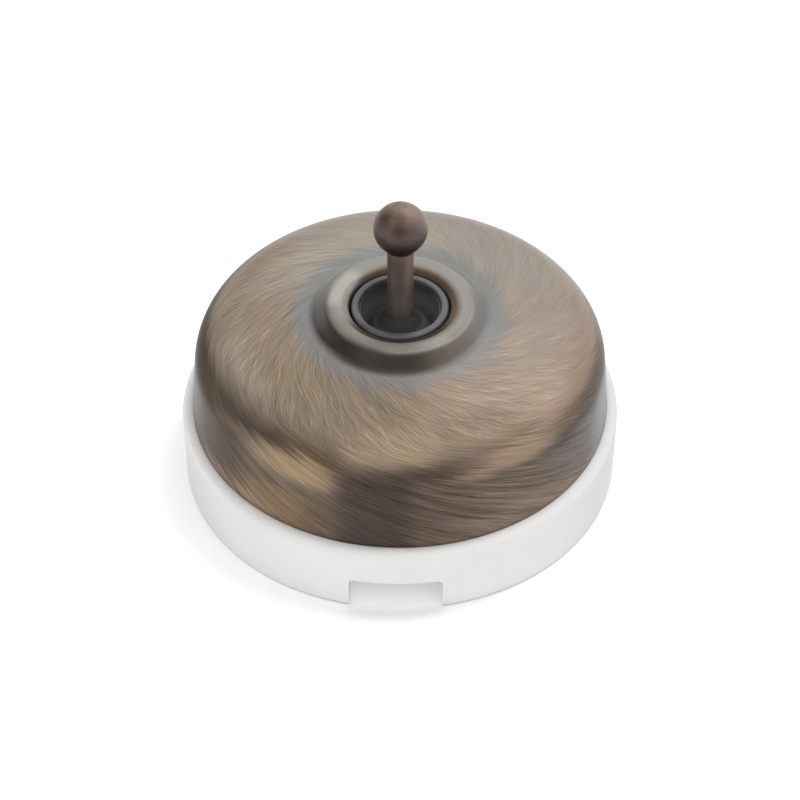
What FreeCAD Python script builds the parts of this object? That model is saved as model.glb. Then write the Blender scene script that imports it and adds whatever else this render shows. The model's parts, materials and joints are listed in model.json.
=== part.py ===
# Surface dolly switch: porcelain base, spun brass cover, black retaining ring and ball-ended dolly,
# with the bush, see-saw contacts and terminals inside. Millimetres, +Z out of the wall.
# The origin is the centre of the base's back face, and the cable notch faces -Y.
import FreeCAD, Part
import math
import os

from FreeCAD import Vector

# Porcelain base
base_radius = 41.0
base_flare = 0.35
base_height = 14.5
base_edge_round = 1.6
base_foot_round = 0.5
base_floor_top = 8.0
base_floor_round = 1.2
base_recess_depth = 2.0
base_foot_width = 7.0
spigot_height = 2.4
spigot_wall = 3.2
spigot_edge_round = 0.6
notch_width = 17.3
notch_height = 7.0
notch_round = 1.0
cable_slot_length = 16.0
cable_slot_round = 2.5
wall_screw_spacing = 60.0
wall_screw_hole_radius = 2.25
wall_screw_boss_radius = 4.4

# Brass cover
cover_sheet = 0.9
cover_ledge = 1.65
cover_spigot_gap = 0.25
cover_rim_land = 0.8
cover_wall_lean = 4.2
cover_shoulder_radius = 8.5
cover_crown_slope = 11.2
collar_foot_radius = 16.1
collar_top_radius = 13.75
collar_rise = 2.34
collar_foot_round = 2.5
collar_top_round = 1.7
collar_hole_radius = 9.4
collar_lip_round = 0.3
collar_lip_depth = 3.25
collar_flange_round = 0.4

# Retaining ring
ring_side_gap = 0.3
ring_mouth_radius = 7.75
ring_lip = 1.0
ring_edge_round = 0.6
ring_mouth_round = 0.3
ring_drop = 0.3

# Dolly lever
ball_radius = 5.05
stem_radius = 2.45
tail_radius = 2.0
lever_length = 24.35
dolly_lean = 12.0

# Hub, plunger and spring
hub_radius = 7.0
hub_recess = 2.5
hub_bore_gap = 0.3
hub_stop_gap = 0.25
hub_seat_height = 6.3
hub_web = 1.2
skirt_wall = 1.3
skirt_hollow = 2.6
barrel_radius = 2.9
barrel_reach = 8.6
plunger_nose = 2.4
plunger_radius = 1.6
plunger_body = 2.6
plunger_guide_radius = 0.75
plunger_guide_length = 1.3
plunger_fit = 0.06
plunger_clearance = 0.06
spring_wire_radius = 0.2
spring_side_gap = 0.12
spring_end_gap = 0.03
spring_turns = 5.0

# Pivot pin and bush
pin_radius = 1.0
pin_fit = 0.05
pin_end_recess = 0.25
bush_body_radius = 9.4
bush_flange_radius = 10.6
bush_flange = 1.4
bush_spigot_radius = 8.8
bush_thread_radius = 8.2
bush_thread_chamfer = 0.4
bush_mouth_gap = 0.1
bush_seat_gap = 0.2
thread_gap = 0.05

# Bush plate
plate_sheet = 1.2
plate_rim = 0.6
plate_arm_width = 9.0
plate_corner_round = 1.2
plate_screw_gap = 0.2

# Contact block
block_floor = 4.5
block_wall = 1.6
block_corner_round = 2.0
block_well_gap = 0.7
pillar_radius = 3.0
pillar_pilot_gap = 0.05
wire_hole_play = 0.6

# See-saw contacts
rocker_sheet = 0.8
rocker_width = 4.4
rocker_lean = 6.0
rocker_rise = 1.3
rocker_edge = 0.7
rocker_lug_radius = 1.6
rocker_lug_clearance = 0.5
rocker_end_clearance = 1.2
fulcrum_radius = 0.8
fulcrum_fit = 0.05
fulcrum_overhang = 0.4
bracket_sheet = 0.8
bracket_ear_radius = 2.2
bracket_side_gap = 0.3
bracket_bend = 1.0
contact_offset = 10.0
contact_radius = 1.5
contact_head = 0.9
contact_shank_radius = 0.7
contact_tail_radius = 1.1
contact_tail = 0.35
contact_gap = 0.1
bridge_clearance = 1.2

# Strips and terminals
strip_sheet = 0.8
strip_width = 5.6
strip_bend = 0.4
strip_end = 1.2
common_run_width = 6.0
common_leg_width = 5.0
common_way_gap = 2.8
joggle_run = 1.5
terminal_length = 5.6
terminal_width = 6.0
terminal_height = 6.0
terminal_edge = 0.4
terminal_wall_gap = 0.4
terminal_flange_gap = 0.2
terminal_hole_radius = 1.4
terminal_hole_height = 2.6
terminal_peg_radius = 1.1
terminal_peg_bite = 1.5
terminal_peg_fit = 0.05

# Screws
screw_radius = 1.5
screw_head_radius = 2.5
screw_head_height = 1.7
screw_slot_width = 0.7
screw_slot_depth = 0.8
terminal_head_radius = 2.1
plate_screw_length = 7.0
block_screw_bite = 5.5
block_screw_seat = 2.4
block_screw_gap = 0.3

# Heights, stacked from the wall outwards
plunger_reach = barrel_reach + plunger_nose
well_floor = base_floor_top + block_floor
bracket_floor = well_floor + strip_sheet
fulcrum_height = bracket_floor + bracket_sheet + rocker_lug_clearance + rocker_lug_radius
lean = math.radians(rocker_lean)
blade_underside = fulcrum_height + rocker_rise * math.cos(lean)
strip_height = blade_underside - 2 * contact_head - contact_gap - strip_sheet
strip_top = strip_height + strip_sheet
blade_reach = contact_offset + contact_radius + rocker_edge
plate_height = (fulcrum_height + rocker_rise + rocker_sheet
                + blade_reach * math.sin(2 * lean) + bridge_clearance)
plate_top = plate_height + plate_sheet
pivot_height = (fulcrum_height + rocker_rise + rocker_sheet / math.cos(lean)
                + plunger_clearance + plunger_reach)
ring_top = pivot_height + hub_radius + hub_recess
collar_top = ring_top + ring_drop
flange_top = collar_top - collar_lip_depth

# Plan sizes that follow from the fits
cover_radius = base_radius - cover_ledge
spigot_radius = cover_radius - cover_sheet - cover_spigot_gap
base_inner_radius = spigot_radius - spigot_wall
ring_radius = collar_hole_radius - ring_side_gap
bush_bore_radius = hub_radius + hub_bore_gap
plate_radius = bush_flange_radius + plate_rim
block_inner_y = blade_reach + rocker_end_clearance
block_half_y = block_inner_y + block_wall
terminal_x = bush_flange_radius + terminal_flange_gap + terminal_length / 2
terminal_y = block_inner_y - terminal_wall_gap - terminal_width / 2
block_inner_x = terminal_x + terminal_length / 2 + terminal_wall_gap
block_half_x = block_inner_x + block_wall
pillar_x = block_inner_x - pillar_radius + block_wall / 2
skirt_depth = pivot_height - plate_height - hub_bore_gap
swing = math.radians(dolly_lean)
skirt_radius = ((bush_bore_radius - hub_stop_gap - skirt_depth * math.sin(swing)) / math.cos(swing))
spring_bore_top = pin_radius + hub_web
spring_bore_radius = plunger_radius + plunger_fit
plunger_shoulder = plunger_reach - plunger_radius - plunger_body
common_leg_x = contact_radius + strip_end + common_way_gap

X_AXIS = Vector(1, 0, 0)
Y_AXIS = Vector(0, 1, 0)
Z_AXIS = Vector(0, 0, 1)


def corner_points(before, corner, after, radius):
    """Start, middle and end of the arc that rounds one corner of an outline."""
    back = (before - corner).normalize()
    ahead = (after - corner).normalize()
    half_angle = back.getAngle(ahead) / 2
    reach = radius / math.tan(half_angle)
    bisector = (back + ahead).normalize()
    middle = corner + bisector * (radius / math.sin(half_angle) - radius)
    return corner + back * reach, middle, corner + ahead * reach


def outline_face(corners, place):
    """Face inside a closed outline of (a, b, corner radius), put into space by place."""
    points = [place(a, b) for a, b, _ in corners]
    edges = []
    arcs = []
    for index, (_, _, radius) in enumerate(corners):
        corner = points[index]
        after = points[(index + 1) % len(points)]
        if radius > 0:
            arcs.append(corner_points(points[index - 1], corner, after, radius))
        else:
            arcs.append((corner, None, corner))
    for index, (start, middle, end) in enumerate(arcs):
        if middle is not None:
            edges.append(Part.Arc(start, middle, end).toShape())
        following = arcs[(index + 1) % len(arcs)][0]
        if end.distanceToPoint(following) > 1e-6:
            edges.append(Part.LineSegment(end, following).toShape())
    return Part.Face(Part.Wire(edges))


def turned(corners):
    """Solid of revolution about Z from an outline of (radius, height, corner radius)."""
    face = outline_face(corners, lambda r, z: Vector(r, 0, z))
    return face.revolve(Vector(0, 0, 0), Z_AXIS, 360)


def prism_z(corners, low, high):
    """Upright prism on an (x, y, corner radius) outline."""
    face = outline_face(corners, lambda x, y: Vector(x, y, low))
    return face.extrude(Z_AXIS * (high - low))


def prism_y(corners, low, high):
    """Prism along Y on an (x, z, corner radius) outline."""
    face = outline_face(corners, lambda x, z: Vector(x, low, z))
    return face.extrude(Y_AXIS * (high - low))


def prism_x(corners, low, high):
    """Prism along X on a (y, z, corner radius) outline."""
    face = outline_face(corners, lambda y, z: Vector(low, y, z))
    return face.extrude(X_AXIS * (high - low))


def rectangle(low_a, low_b, high_a, high_b, radius=0.0):
    return [(low_a, low_b, radius), (high_a, low_b, radius),
            (high_a, high_b, radius), (low_a, high_b, radius)]


def rod(radius, length, start, axis=Z_AXIS):
    return Part.makeCylinder(radius, length, start, axis)


def folded(path, sheet):
    """Closed outline of a sheet whose path of (a, b, bend radius) has the metal on its left."""
    far_side = []
    last = len(path) - 1
    for index, (a, b, radius) in enumerate(path):
        normals = []
        turns = []
        for first, second in ((index - 1, index), (index, index + 1)):
            if first < 0 or second > last:
                continue
            step_a = path[second][0] - path[first][0]
            step_b = path[second][1] - path[first][1]
            length = math.hypot(step_a, step_b)
            normals.append((-step_b / length, step_a / length))
            turns.append((step_a, step_b))
        if len(normals) == 1:
            shift_a, shift_b = normals[0]
            far_radius = radius
        else:
            (n1a, n1b), (n2a, n2b) = normals
            scale = 1 + n1a * n2a + n1b * n2b
            shift_a = (n1a + n2a) / scale
            shift_b = (n1b + n2b) / scale
            left_turn = turns[0][0] * turns[1][1] - turns[0][1] * turns[1][0] > 0
            far_radius = max(radius - sheet, 0.0) if left_turn else radius + sheet
            if radius == 0:
                far_radius = 0.0
        far_side.append((a + shift_a * sheet, b + shift_b * sheet, far_radius))
    return list(path) + far_side[::-1]


def slotted_screw(radius, length, head_radius):
    """Screw that points down, with the underside of its head at the origin."""
    shank = rod(radius, length, Vector(0, 0, -length))
    head = rod(head_radius, screw_head_height, Vector(0, 0, 0))
    rim = [edge for edge in head.Edges if edge.BoundBox.ZMin > screw_head_height / 2
           and edge.Closed]
    head = head.makeFillet(screw_slot_width / 2, rim)
    slot = Part.makeBox(2 * head_radius, screw_slot_width, screw_slot_depth,
                        Vector(-head_radius, -screw_slot_width / 2,
                               screw_head_height - screw_slot_depth))
    return head.fuse(shank).removeSplitter().cut(slot)


def moved(shape, x, y, z):
    copy = shape.copy()
    copy.translate(Vector(x, y, z))
    return copy


def leaned_dolly(shape):
    """Dolly pieces are drawn upright about their pivot, then leaned back to their rest."""
    copy = shape.copy()
    copy.rotate(Vector(0, 0, 0), X_AXIS, -dolly_lean)
    copy.translate(Vector(0, 0, pivot_height))
    return copy


def tipped_rocker(shape):
    """See-saw pieces are drawn level about their fulcrum, then tipped to their rest."""
    copy = shape.copy()
    copy.rotate(Vector(0, 0, 0), X_AXIS, rocker_lean)
    copy.translate(Vector(0, 0, fulcrum_height))
    return copy


def porcelain_base():
    recess_radius = base_radius - base_foot_width
    spigot_top = base_height + spigot_height
    body = turned([
        (0, base_recess_depth, 0),
        (recess_radius, base_recess_depth, 0),
        (recess_radius, 0, 0),
        (base_radius, 0, base_foot_round),
        (base_radius + base_flare, base_height, base_edge_round),
        (spigot_radius, base_height, 0),
        (spigot_radius, spigot_top, spigot_edge_round),
        (base_inner_radius, spigot_top, spigot_edge_round),
        (base_inner_radius, base_floor_top, base_floor_round),
        (0, base_floor_top, 0)])
    outside = base_radius + base_flare + notch_height
    slot_front = -math.sqrt(base_inner_radius ** 2 - (notch_width / 2) ** 2)
    slot_back = slot_front + cable_slot_length
    half = notch_width / 2
    for side in (-1, 1):
        screw_x = side * wall_screw_spacing / 2
        body = body.fuse(rod(wall_screw_boss_radius, base_recess_depth, Vector(screw_x, 0, 0)))
        body = body.cut(rod(wall_screw_hole_radius, base_floor_top + base_recess_depth,
                            Vector(screw_x, 0, -base_recess_depth / 2)))
        block_x = side * pillar_x
        body = body.cut(rod(screw_radius + block_screw_gap, base_floor_top,
                            Vector(block_x, 0, base_recess_depth)))
        body = body.cut(rod(screw_head_radius + block_screw_gap,
                            base_recess_depth + block_screw_seat, Vector(block_x, 0, 0)))
    notch = [(-half, -notch_height, 0), (half, -notch_height, 0),
             (half, notch_height, notch_round), (-half, notch_height, notch_round)]
    body = body.cut(prism_y(notch, -outside, slot_back - cable_slot_round))
    slot = rectangle(-half, slot_front, half, slot_back, cable_slot_round)
    return body.cut(prism_z(slot, -notch_height, base_floor_top + notch_height)).removeSplitter()


def brass_cover():
    foot_height = collar_top - collar_rise
    rim_top = base_height + cover_rim_land
    wall_slope = math.tan(math.radians(cover_wall_lean))
    crown_slope = math.tan(math.radians(cover_crown_slope))
    # The wall and crown lines meet at the corner that the shoulder rounds
    crown_at_wall = foot_height - (cover_radius - collar_foot_radius) * crown_slope
    inset = (crown_at_wall - rim_top) * wall_slope / (1 - wall_slope * crown_slope)
    shoulder = (cover_radius - inset, crown_at_wall + inset * crown_slope)
    path = [
        (cover_radius, base_height, 0),
        (cover_radius, rim_top, 0),
        (shoulder[0], shoulder[1], cover_shoulder_radius),
        (collar_foot_radius, foot_height, collar_foot_round),
        (collar_top_radius, collar_top, collar_top_round),
        (collar_hole_radius, collar_top, cover_sheet + collar_lip_round),
        (collar_hole_radius, flange_top, collar_flange_round),
        (bush_thread_radius + bush_seat_gap, flange_top, 0)]
    return turned(folded(path, cover_sheet))


def retaining_ring():
    thread = bush_thread_radius + thread_gap
    return turned([
        (thread, flange_top, 0),
        (ring_radius, flange_top, collar_flange_round),
        (ring_radius, ring_top, ring_edge_round),
        (ring_mouth_radius, ring_top, ring_mouth_round),
        (ring_mouth_radius, ring_top - ring_lip, 0),
        (thread, ring_top - ring_lip, 0)])


def dolly_lever():
    tail_foot = pin_radius + hub_web
    stem = rod(stem_radius, lever_length - hub_seat_height, Vector(0, 0, hub_seat_height))
    tail = rod(tail_radius, hub_seat_height - tail_foot, Vector(0, 0, tail_foot))
    ball = Part.makeSphere(ball_radius, Vector(0, 0, lever_length))
    return leaned_dolly(ball.fuse([stem, tail]).removeSplitter())


def dolly_hub():
    ball = Part.makeSphere(hub_radius)
    skirt_join = -math.sqrt(hub_radius ** 2 - skirt_radius ** 2)
    span = 2 * hub_radius
    upper = ball.common(Part.makeBox(span, span, span, Vector(-hub_radius, -hub_radius, skirt_join)))
    skirt = rod(skirt_radius, skirt_depth + skirt_join, Vector(0, 0, -skirt_depth))
    body = upper.fuse(skirt)
    body = body.cut(rod(skirt_radius - skirt_wall, skirt_hollow, Vector(0, 0, -skirt_depth)))
    barrel_top = skirt_hollow - skirt_depth
    body = body.fuse(rod(barrel_radius, barrel_reach + barrel_top, Vector(0, 0, -barrel_reach)))
    body = body.cut(rod(pin_radius + pin_fit, span, Vector(-hub_radius, 0, 0), X_AXIS))
    body = body.cut(rod(spring_bore_radius, barrel_reach - spring_bore_top,
                        Vector(0, 0, -barrel_reach)))
    body = body.cut(rod(tail_radius + thread_gap, hub_radius, Vector(0, 0, pin_radius + hub_web)))
    body = body.cut(rod(stem_radius + thread_gap, hub_radius, Vector(0, 0, hub_seat_height)))
    return leaned_dolly(body.removeSplitter())


def pivot_pin():
    length = 2 * (bush_body_radius - pin_end_recess)
    return rod(pin_radius, length, Vector(-length / 2, 0, pivot_height), X_AXIS)


def plunger():
    nose_centre = plunger_radius - plunger_reach
    guide_top = plunger_guide_length - plunger_shoulder
    body = Part.makeSphere(plunger_radius, Vector(0, 0, nose_centre))
    body = body.fuse(rod(plunger_radius, plunger_body, Vector(0, 0, nose_centre)))
    guide = rod(plunger_guide_radius, guide_top + plunger_shoulder, Vector(0, 0, -plunger_shoulder))
    return leaned_dolly(body.fuse(guide).removeSplitter())


def plunger_spring():
    coil_radius = spring_bore_radius - spring_side_gap - spring_wire_radius
    end = spring_wire_radius + spring_end_gap
    height = plunger_shoulder - spring_bore_top - 2 * end
    helix = Part.makeHelix(height / spring_turns, height, coil_radius)
    section = Part.Wire(Part.makeCircle(spring_wire_radius, Vector(coil_radius, 0, 0), Y_AXIS))
    coil = Part.Wire(helix.Edges).makePipeShell([section], True, True)
    return leaned_dolly(moved(coil, 0, 0, end - plunger_shoulder))


def threaded_bush():
    shoulder = flange_top - cover_sheet - bush_seat_gap
    flange_face = plate_top + bush_flange
    mouth = ring_top - ring_lip - bush_mouth_gap
    body = turned([
        (bush_bore_radius, plate_height, 0),
        (bush_spigot_radius, plate_height, 0),
        (bush_spigot_radius, plate_top, 0),
        (bush_flange_radius, plate_top, 0),
        (bush_flange_radius, flange_face, 0),
        (bush_body_radius, flange_face, 0),
        (bush_body_radius, shoulder, 0),
        (bush_thread_radius, shoulder, 0),
        (bush_thread_radius, mouth - bush_thread_chamfer, 0),
        (bush_thread_radius - bush_thread_chamfer, mouth, 0),
        (bush_bore_radius, mouth, 0)])
    span = 2 * bush_flange_radius
    return body.cut(rod(pin_radius, span, Vector(-span / 2, 0, pivot_height), X_AXIS))


def bush_plate():
    half_arm = plate_arm_width / 2
    plate = rod(plate_radius, plate_sheet, Vector(0, 0, plate_height))
    arms = prism_z(rectangle(-block_half_x, -half_arm, block_half_x, half_arm, plate_corner_round),
                   plate_height, plate_top)
    half_terminal = terminal_length / 2
    tab = prism_z(rectangle(terminal_x - half_terminal, 0, terminal_x + half_terminal,
                            terminal_y + terminal_width / 2, plate_corner_round),
                  plate_height, plate_top)
    plate = plate.fuse([arms, tab]).removeSplitter()
    plate = plate.cut(rod(bush_spigot_radius, plate_sheet, Vector(0, 0, plate_height)))
    for side in (-1, 1):
        plate = plate.cut(rod(screw_radius + plate_screw_gap, plate_sheet,
                              Vector(side * pillar_x, 0, plate_height)))
    peg_radius = terminal_peg_radius + terminal_peg_fit
    return plate.cut(rod(peg_radius, plate_sheet, Vector(terminal_x, terminal_y, plate_height)))


def live_terminals():
    """Node name and place of the three terminals that the contact block holds."""
    return {"common_terminal": (terminal_x, -terminal_y),
            "way_one_terminal": (-terminal_x, -terminal_y),
            "way_two_terminal": (-terminal_x, terminal_y)}


def contact_block():
    body = prism_z(rectangle(-block_half_x, -block_half_y, block_half_x, block_half_y,
                             block_corner_round), base_floor_top, plate_height)
    inside = prism_z(rectangle(-block_inner_x, -block_inner_y, block_inner_x, block_inner_y,
                               block_corner_round / 2), strip_height, plate_height)
    pilot = screw_radius + pillar_pilot_gap
    for side in (-1, 1):
        x = side * pillar_x
        pillar = rod(pillar_radius, plate_height - strip_height, Vector(x, 0, strip_height))
        wall_x = side * block_half_x
        web = prism_z(rectangle(min(x, wall_x), -pillar_radius, max(x, wall_x), pillar_radius),
                      strip_height, plate_height)
        inside = inside.cut(pillar.fuse(web))
    body = body.cut(inside)
    half_run = common_run_width / 2
    well_front = -half_run - joggle_run - strip_sheet - block_well_gap
    well = prism_z(rectangle(-bracket_half_width() - block_well_gap, well_front,
                             common_leg_x + common_leg_width + block_well_gap,
                             half_run + block_well_gap), well_floor, plate_height)
    for side in (-1, 1):
        pillar = rod(pillar_radius, plate_height - well_floor, Vector(side * pillar_x, 0, well_floor))
        well = well.cut(pillar)
    body = body.cut(well)
    for side in (-1, 1):
        x = side * pillar_x
        body = body.cut(rod(pilot, plate_screw_length, Vector(x, 0, plate_height - plate_screw_length)))
        body = body.cut(rod(pilot, block_screw_bite, Vector(x, 0, base_floor_top)))
    peg_radius = terminal_peg_radius + terminal_peg_fit
    for x, y in live_terminals().values():
        body = body.cut(rod(peg_radius, terminal_peg_bite,
                            Vector(x, y, strip_height - terminal_peg_bite)))
        entry = rod(terminal_hole_radius + wire_hole_play, block_half_x,
                    Vector(x, y, strip_top + terminal_hole_height), X_AXIS * math.copysign(1, x))
        body = body.cut(entry)
    return body.removeSplitter()


def rocker_blade():
    slope = math.tan(lean)
    reach = blade_reach * math.cos(lean)
    half = rocker_width / 2
    path = [(-reach, rocker_rise + reach * slope, 0), (0, rocker_rise, 0),
            (reach, rocker_rise + reach * slope, 0)]
    blade = prism_x(folded(path, rocker_sheet), -half, half)
    for side in (-1, 1):
        start = min(side * half, side * (half - rocker_sheet))
        ear = rod(rocker_lug_radius, rocker_sheet, Vector(start, 0, 0), X_AXIS)
        lug_top = rocker_rise + rocker_sheet / 2
        neck = Part.makeBox(rocker_sheet, 2 * rocker_lug_radius, lug_top,
                            Vector(start, -rocker_lug_radius, 0))
        blade = blade.fuse(ear.fuse(neck))
    blade = blade.removeSplitter()
    blade = blade.cut(rod(fulcrum_radius + fulcrum_fit, rocker_width, Vector(-half, 0, 0), X_AXIS))
    for side in (-1, 1):
        blade = blade.cut(on_blade(rod(contact_shank_radius, rocker_sheet, Vector(0, 0, 0)), side))
    return tipped_rocker(blade)


def on_blade(shape, side):
    """Puts a shape drawn on the blade's underside at one contact of the level see-saw."""
    copy = moved(shape, 0, side * contact_offset, rocker_rise * math.cos(lean))
    copy.rotate(Vector(0, 0, 0), X_AXIS, side * rocker_lean)
    return copy


def rocker_contacts():
    head = rod(contact_radius, contact_head, Vector(0, 0, -contact_head))
    shank = rod(contact_shank_radius, rocker_sheet, Vector(0, 0, 0))
    tail = rod(contact_tail_radius, contact_tail, Vector(0, 0, rocker_sheet))
    rivet = head.fuse([shank, tail]).removeSplitter()
    return Part.makeCompound([tipped_rocker(on_blade(rivet, side)) for side in (-1, 1)])


def bracket_half_width():
    return rocker_width / 2 + bracket_side_gap + bracket_sheet


def fulcrum_bracket():
    half = bracket_half_width()
    ear_top = fulcrum_height + bracket_ear_radius
    path = [(-half, ear_top, 0), (-half, bracket_floor, bracket_bend),
            (half, bracket_floor, bracket_bend), (half, ear_top, 0)]
    body = prism_y(folded(path, bracket_sheet), -bracket_ear_radius, bracket_ear_radius)
    rounding = rod(bracket_ear_radius, 2 * half, Vector(-half, 0, fulcrum_height), X_AXIS)
    square = Part.makeBox(2 * half, 2 * bracket_ear_radius, fulcrum_height - bracket_floor,
                          Vector(-half, -bracket_ear_radius, bracket_floor))
    body = body.common(rounding.fuse(square))
    return body.cut(rod(fulcrum_radius, 2 * half, Vector(-half, 0, fulcrum_height), X_AXIS))


def fulcrum_pin():
    half = bracket_half_width() + fulcrum_overhang
    return rod(fulcrum_radius, 2 * half, Vector(-half, 0, fulcrum_height), X_AXIS)


def way_strip(side):
    y = side * contact_offset
    inner = min(y - strip_width / 2, y + strip_width / 2)
    strip = prism_z(rectangle(-terminal_x - terminal_length / 2, inner, contact_radius + strip_end,
                              inner + strip_width, strip_bend), strip_height, strip_top)
    strip = strip.cut(rod(contact_shank_radius, strip_sheet, Vector(0, y, strip_height)))
    peg_radius = terminal_peg_radius + terminal_peg_fit
    return strip.cut(rod(peg_radius, strip_sheet, Vector(-terminal_x, side * terminal_y, strip_height)))


def fixed_contacts():
    rivets = []
    for side in (-1, 1):
        y = side * contact_offset
        shank = rod(contact_shank_radius, strip_sheet, Vector(0, y, strip_height))
        head = rod(contact_radius, contact_head, Vector(0, y, strip_top))
        rivets.append(head.fuse(shank).removeSplitter())
    return Part.makeCompound(rivets)


def common_strip():
    half_run = common_run_width / 2
    leg_end = common_leg_x + common_leg_width
    run = prism_z(rectangle(-bracket_half_width(), -half_run, leg_end, half_run),
                  well_floor, bracket_floor)
    front = -contact_offset - strip_width / 2
    path = [(front, strip_height, 0), (-half_run - joggle_run, strip_height, strip_bend),
            (-half_run, well_floor, strip_bend + strip_sheet), (half_run, well_floor, 0)]
    leg = prism_x(folded(path, strip_sheet), common_leg_x, leg_end)
    pad = prism_z(rectangle(common_leg_x, front, terminal_x + terminal_length / 2,
                            front + strip_width), strip_height, strip_top)
    strip = run.fuse([leg, pad]).removeSplitter()
    peg_radius = terminal_peg_radius + terminal_peg_fit
    return strip.cut(rod(peg_radius, strip_sheet, Vector(terminal_x, -terminal_y, strip_height)))


def terminal(peg_length):
    """Pillar terminal that stands on z = 0 with its peg below."""
    half_length = terminal_length / 2
    half_width = terminal_width / 2
    body = prism_z(rectangle(-half_length, -half_width, half_length, half_width, terminal_edge),
                   0, terminal_height)
    body = body.cut(rod(terminal_hole_radius, terminal_length,
                        Vector(-half_length, 0, terminal_hole_height), X_AXIS))
    body = body.cut(rod(screw_radius + thread_gap, terminal_height - terminal_hole_height,
                        Vector(0, 0, terminal_hole_height)))
    return body.fuse(rod(terminal_peg_radius, peg_length, Vector(0, 0, -peg_length)))


def live_terminal(name):
    x, y = live_terminals()[name]
    return moved(terminal(strip_sheet + terminal_peg_bite), x, y, strip_top)


def earth_terminal():
    return moved(terminal(plate_sheet), terminal_x, terminal_y, plate_top)


def terminal_screws():
    length = terminal_height - terminal_hole_height - terminal_hole_radius
    screw = slotted_screw(screw_radius, length, terminal_head_radius)
    screws = [moved(screw, x, y, strip_top + terminal_height) for x, y in live_terminals().values()]
    screws.append(moved(screw, terminal_x, terminal_y, plate_top + terminal_height))
    return Part.makeCompound(screws)


def plate_screws():
    screw = slotted_screw(screw_radius, plate_screw_length, screw_head_radius)
    return Part.makeCompound([moved(screw, side * pillar_x, 0, plate_top) for side in (-1, 1)])


def block_screws():
    seat = base_recess_depth + block_screw_seat
    length = base_floor_top + block_screw_bite - seat
    screw = slotted_screw(screw_radius, length, screw_head_radius)
    screw.rotate(Vector(0, 0, 0), X_AXIS, 180)
    return Part.makeCompound([moved(screw, side * pillar_x, 0, seat) for side in (-1, 1)])


pieces = {
    "porcelain_base": porcelain_base(),
    "contact_block": contact_block(),
    "block_screws": block_screws(),
    "common_strip": common_strip(),
    "way_one_strip": way_strip(-1),
    "way_two_strip": way_strip(1),
    "fixed_contacts": fixed_contacts(),
    "terminal_screws": terminal_screws(),
    "fulcrum_bracket": fulcrum_bracket(),
    "fulcrum_pin": fulcrum_pin(),
    "rocker_blade": rocker_blade(),
    "rocker_contacts": rocker_contacts(),
    "bush_plate": bush_plate(),
    "plate_screws": plate_screws(),
    "earth_terminal": earth_terminal(),
    "threaded_bush": threaded_bush(),
    "pivot_pin": pivot_pin(),
    "dolly_hub": dolly_hub(),
    "plunger": plunger(),
    "plunger_spring": plunger_spring(),
    "dolly_lever": dolly_lever(),
    "brass_cover": brass_cover(),
    "retaining_ring": retaining_ring(),
}
for terminal_name in live_terminals():
    pieces[terminal_name] = live_terminal(terminal_name)

os.makedirs("parts", exist_ok=True)
for node, shape in pieces.items():
    shape.exportStep(f"parts/{node}.step")
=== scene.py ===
# Looks of a round surface dolly switch: glazed porcelain base, swirl-brushed brass cover, black ring
# nut and ball-ended dolly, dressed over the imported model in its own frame. Metres, +Z out of the wall.
import json
import math

import bpy
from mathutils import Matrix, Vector


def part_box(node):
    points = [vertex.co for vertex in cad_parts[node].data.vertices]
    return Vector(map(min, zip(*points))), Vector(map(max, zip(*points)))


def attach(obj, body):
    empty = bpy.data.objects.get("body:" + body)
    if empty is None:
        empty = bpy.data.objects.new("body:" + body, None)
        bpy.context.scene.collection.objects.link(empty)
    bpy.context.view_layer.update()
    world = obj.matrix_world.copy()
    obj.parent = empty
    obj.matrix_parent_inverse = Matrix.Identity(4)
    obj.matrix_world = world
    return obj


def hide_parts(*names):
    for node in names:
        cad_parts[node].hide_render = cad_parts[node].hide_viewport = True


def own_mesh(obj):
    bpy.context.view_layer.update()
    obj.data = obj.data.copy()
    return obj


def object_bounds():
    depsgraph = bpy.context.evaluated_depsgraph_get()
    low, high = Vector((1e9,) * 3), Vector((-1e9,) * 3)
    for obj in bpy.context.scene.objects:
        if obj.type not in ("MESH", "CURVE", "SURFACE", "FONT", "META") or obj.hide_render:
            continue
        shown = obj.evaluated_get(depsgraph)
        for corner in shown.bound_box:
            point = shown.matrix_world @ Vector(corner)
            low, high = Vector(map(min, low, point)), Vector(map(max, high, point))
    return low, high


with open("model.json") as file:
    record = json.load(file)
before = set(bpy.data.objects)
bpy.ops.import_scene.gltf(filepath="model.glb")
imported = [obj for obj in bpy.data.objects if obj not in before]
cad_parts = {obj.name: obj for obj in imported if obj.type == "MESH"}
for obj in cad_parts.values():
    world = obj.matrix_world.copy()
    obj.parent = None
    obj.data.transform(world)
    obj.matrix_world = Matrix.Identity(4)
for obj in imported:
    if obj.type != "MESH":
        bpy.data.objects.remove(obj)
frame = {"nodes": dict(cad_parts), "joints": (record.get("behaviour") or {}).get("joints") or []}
cad_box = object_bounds()
nodes = frame["nodes"]


# Porcelain base: one pressed round of white electrical porcelain, dipped in clear glaze and fired
# standing on its foot. The foot and the hollow of its back are left as bare, slightly rough biscuit.
def add_node(tree, kind, settings, inputs):
    """Adds one shader node: settings are its own choices, inputs are numbers, colours or sockets."""
    node = tree.nodes.new(kind)
    for name, value in settings.items():
        setattr(node, name, value)
    for key, value in inputs.items():
        if isinstance(value, bpy.types.NodeSocket):
            tree.links.new(value, node.inputs[key])
        else:
            node.inputs[key].default_value = value
    return node


def calc(tree, operation, *values, clamp=False):
    """Math node on numbers or sockets; gives its output socket."""
    settings = {"operation": operation, "use_clamp": clamp}
    return add_node(tree, "ShaderNodeMath", settings, dict(enumerate(values))).outputs[0]


def fade(tree, value, low, high):
    """Smooth 0 to 1 mask as a value goes from low to high."""
    settings = {"interpolation_type": "SMOOTHSTEP"}
    inputs = {"Value": value, "From Min": low, "From Max": high}
    return add_node(tree, "ShaderNodeMapRange", settings, inputs).outputs["Result"]


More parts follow.
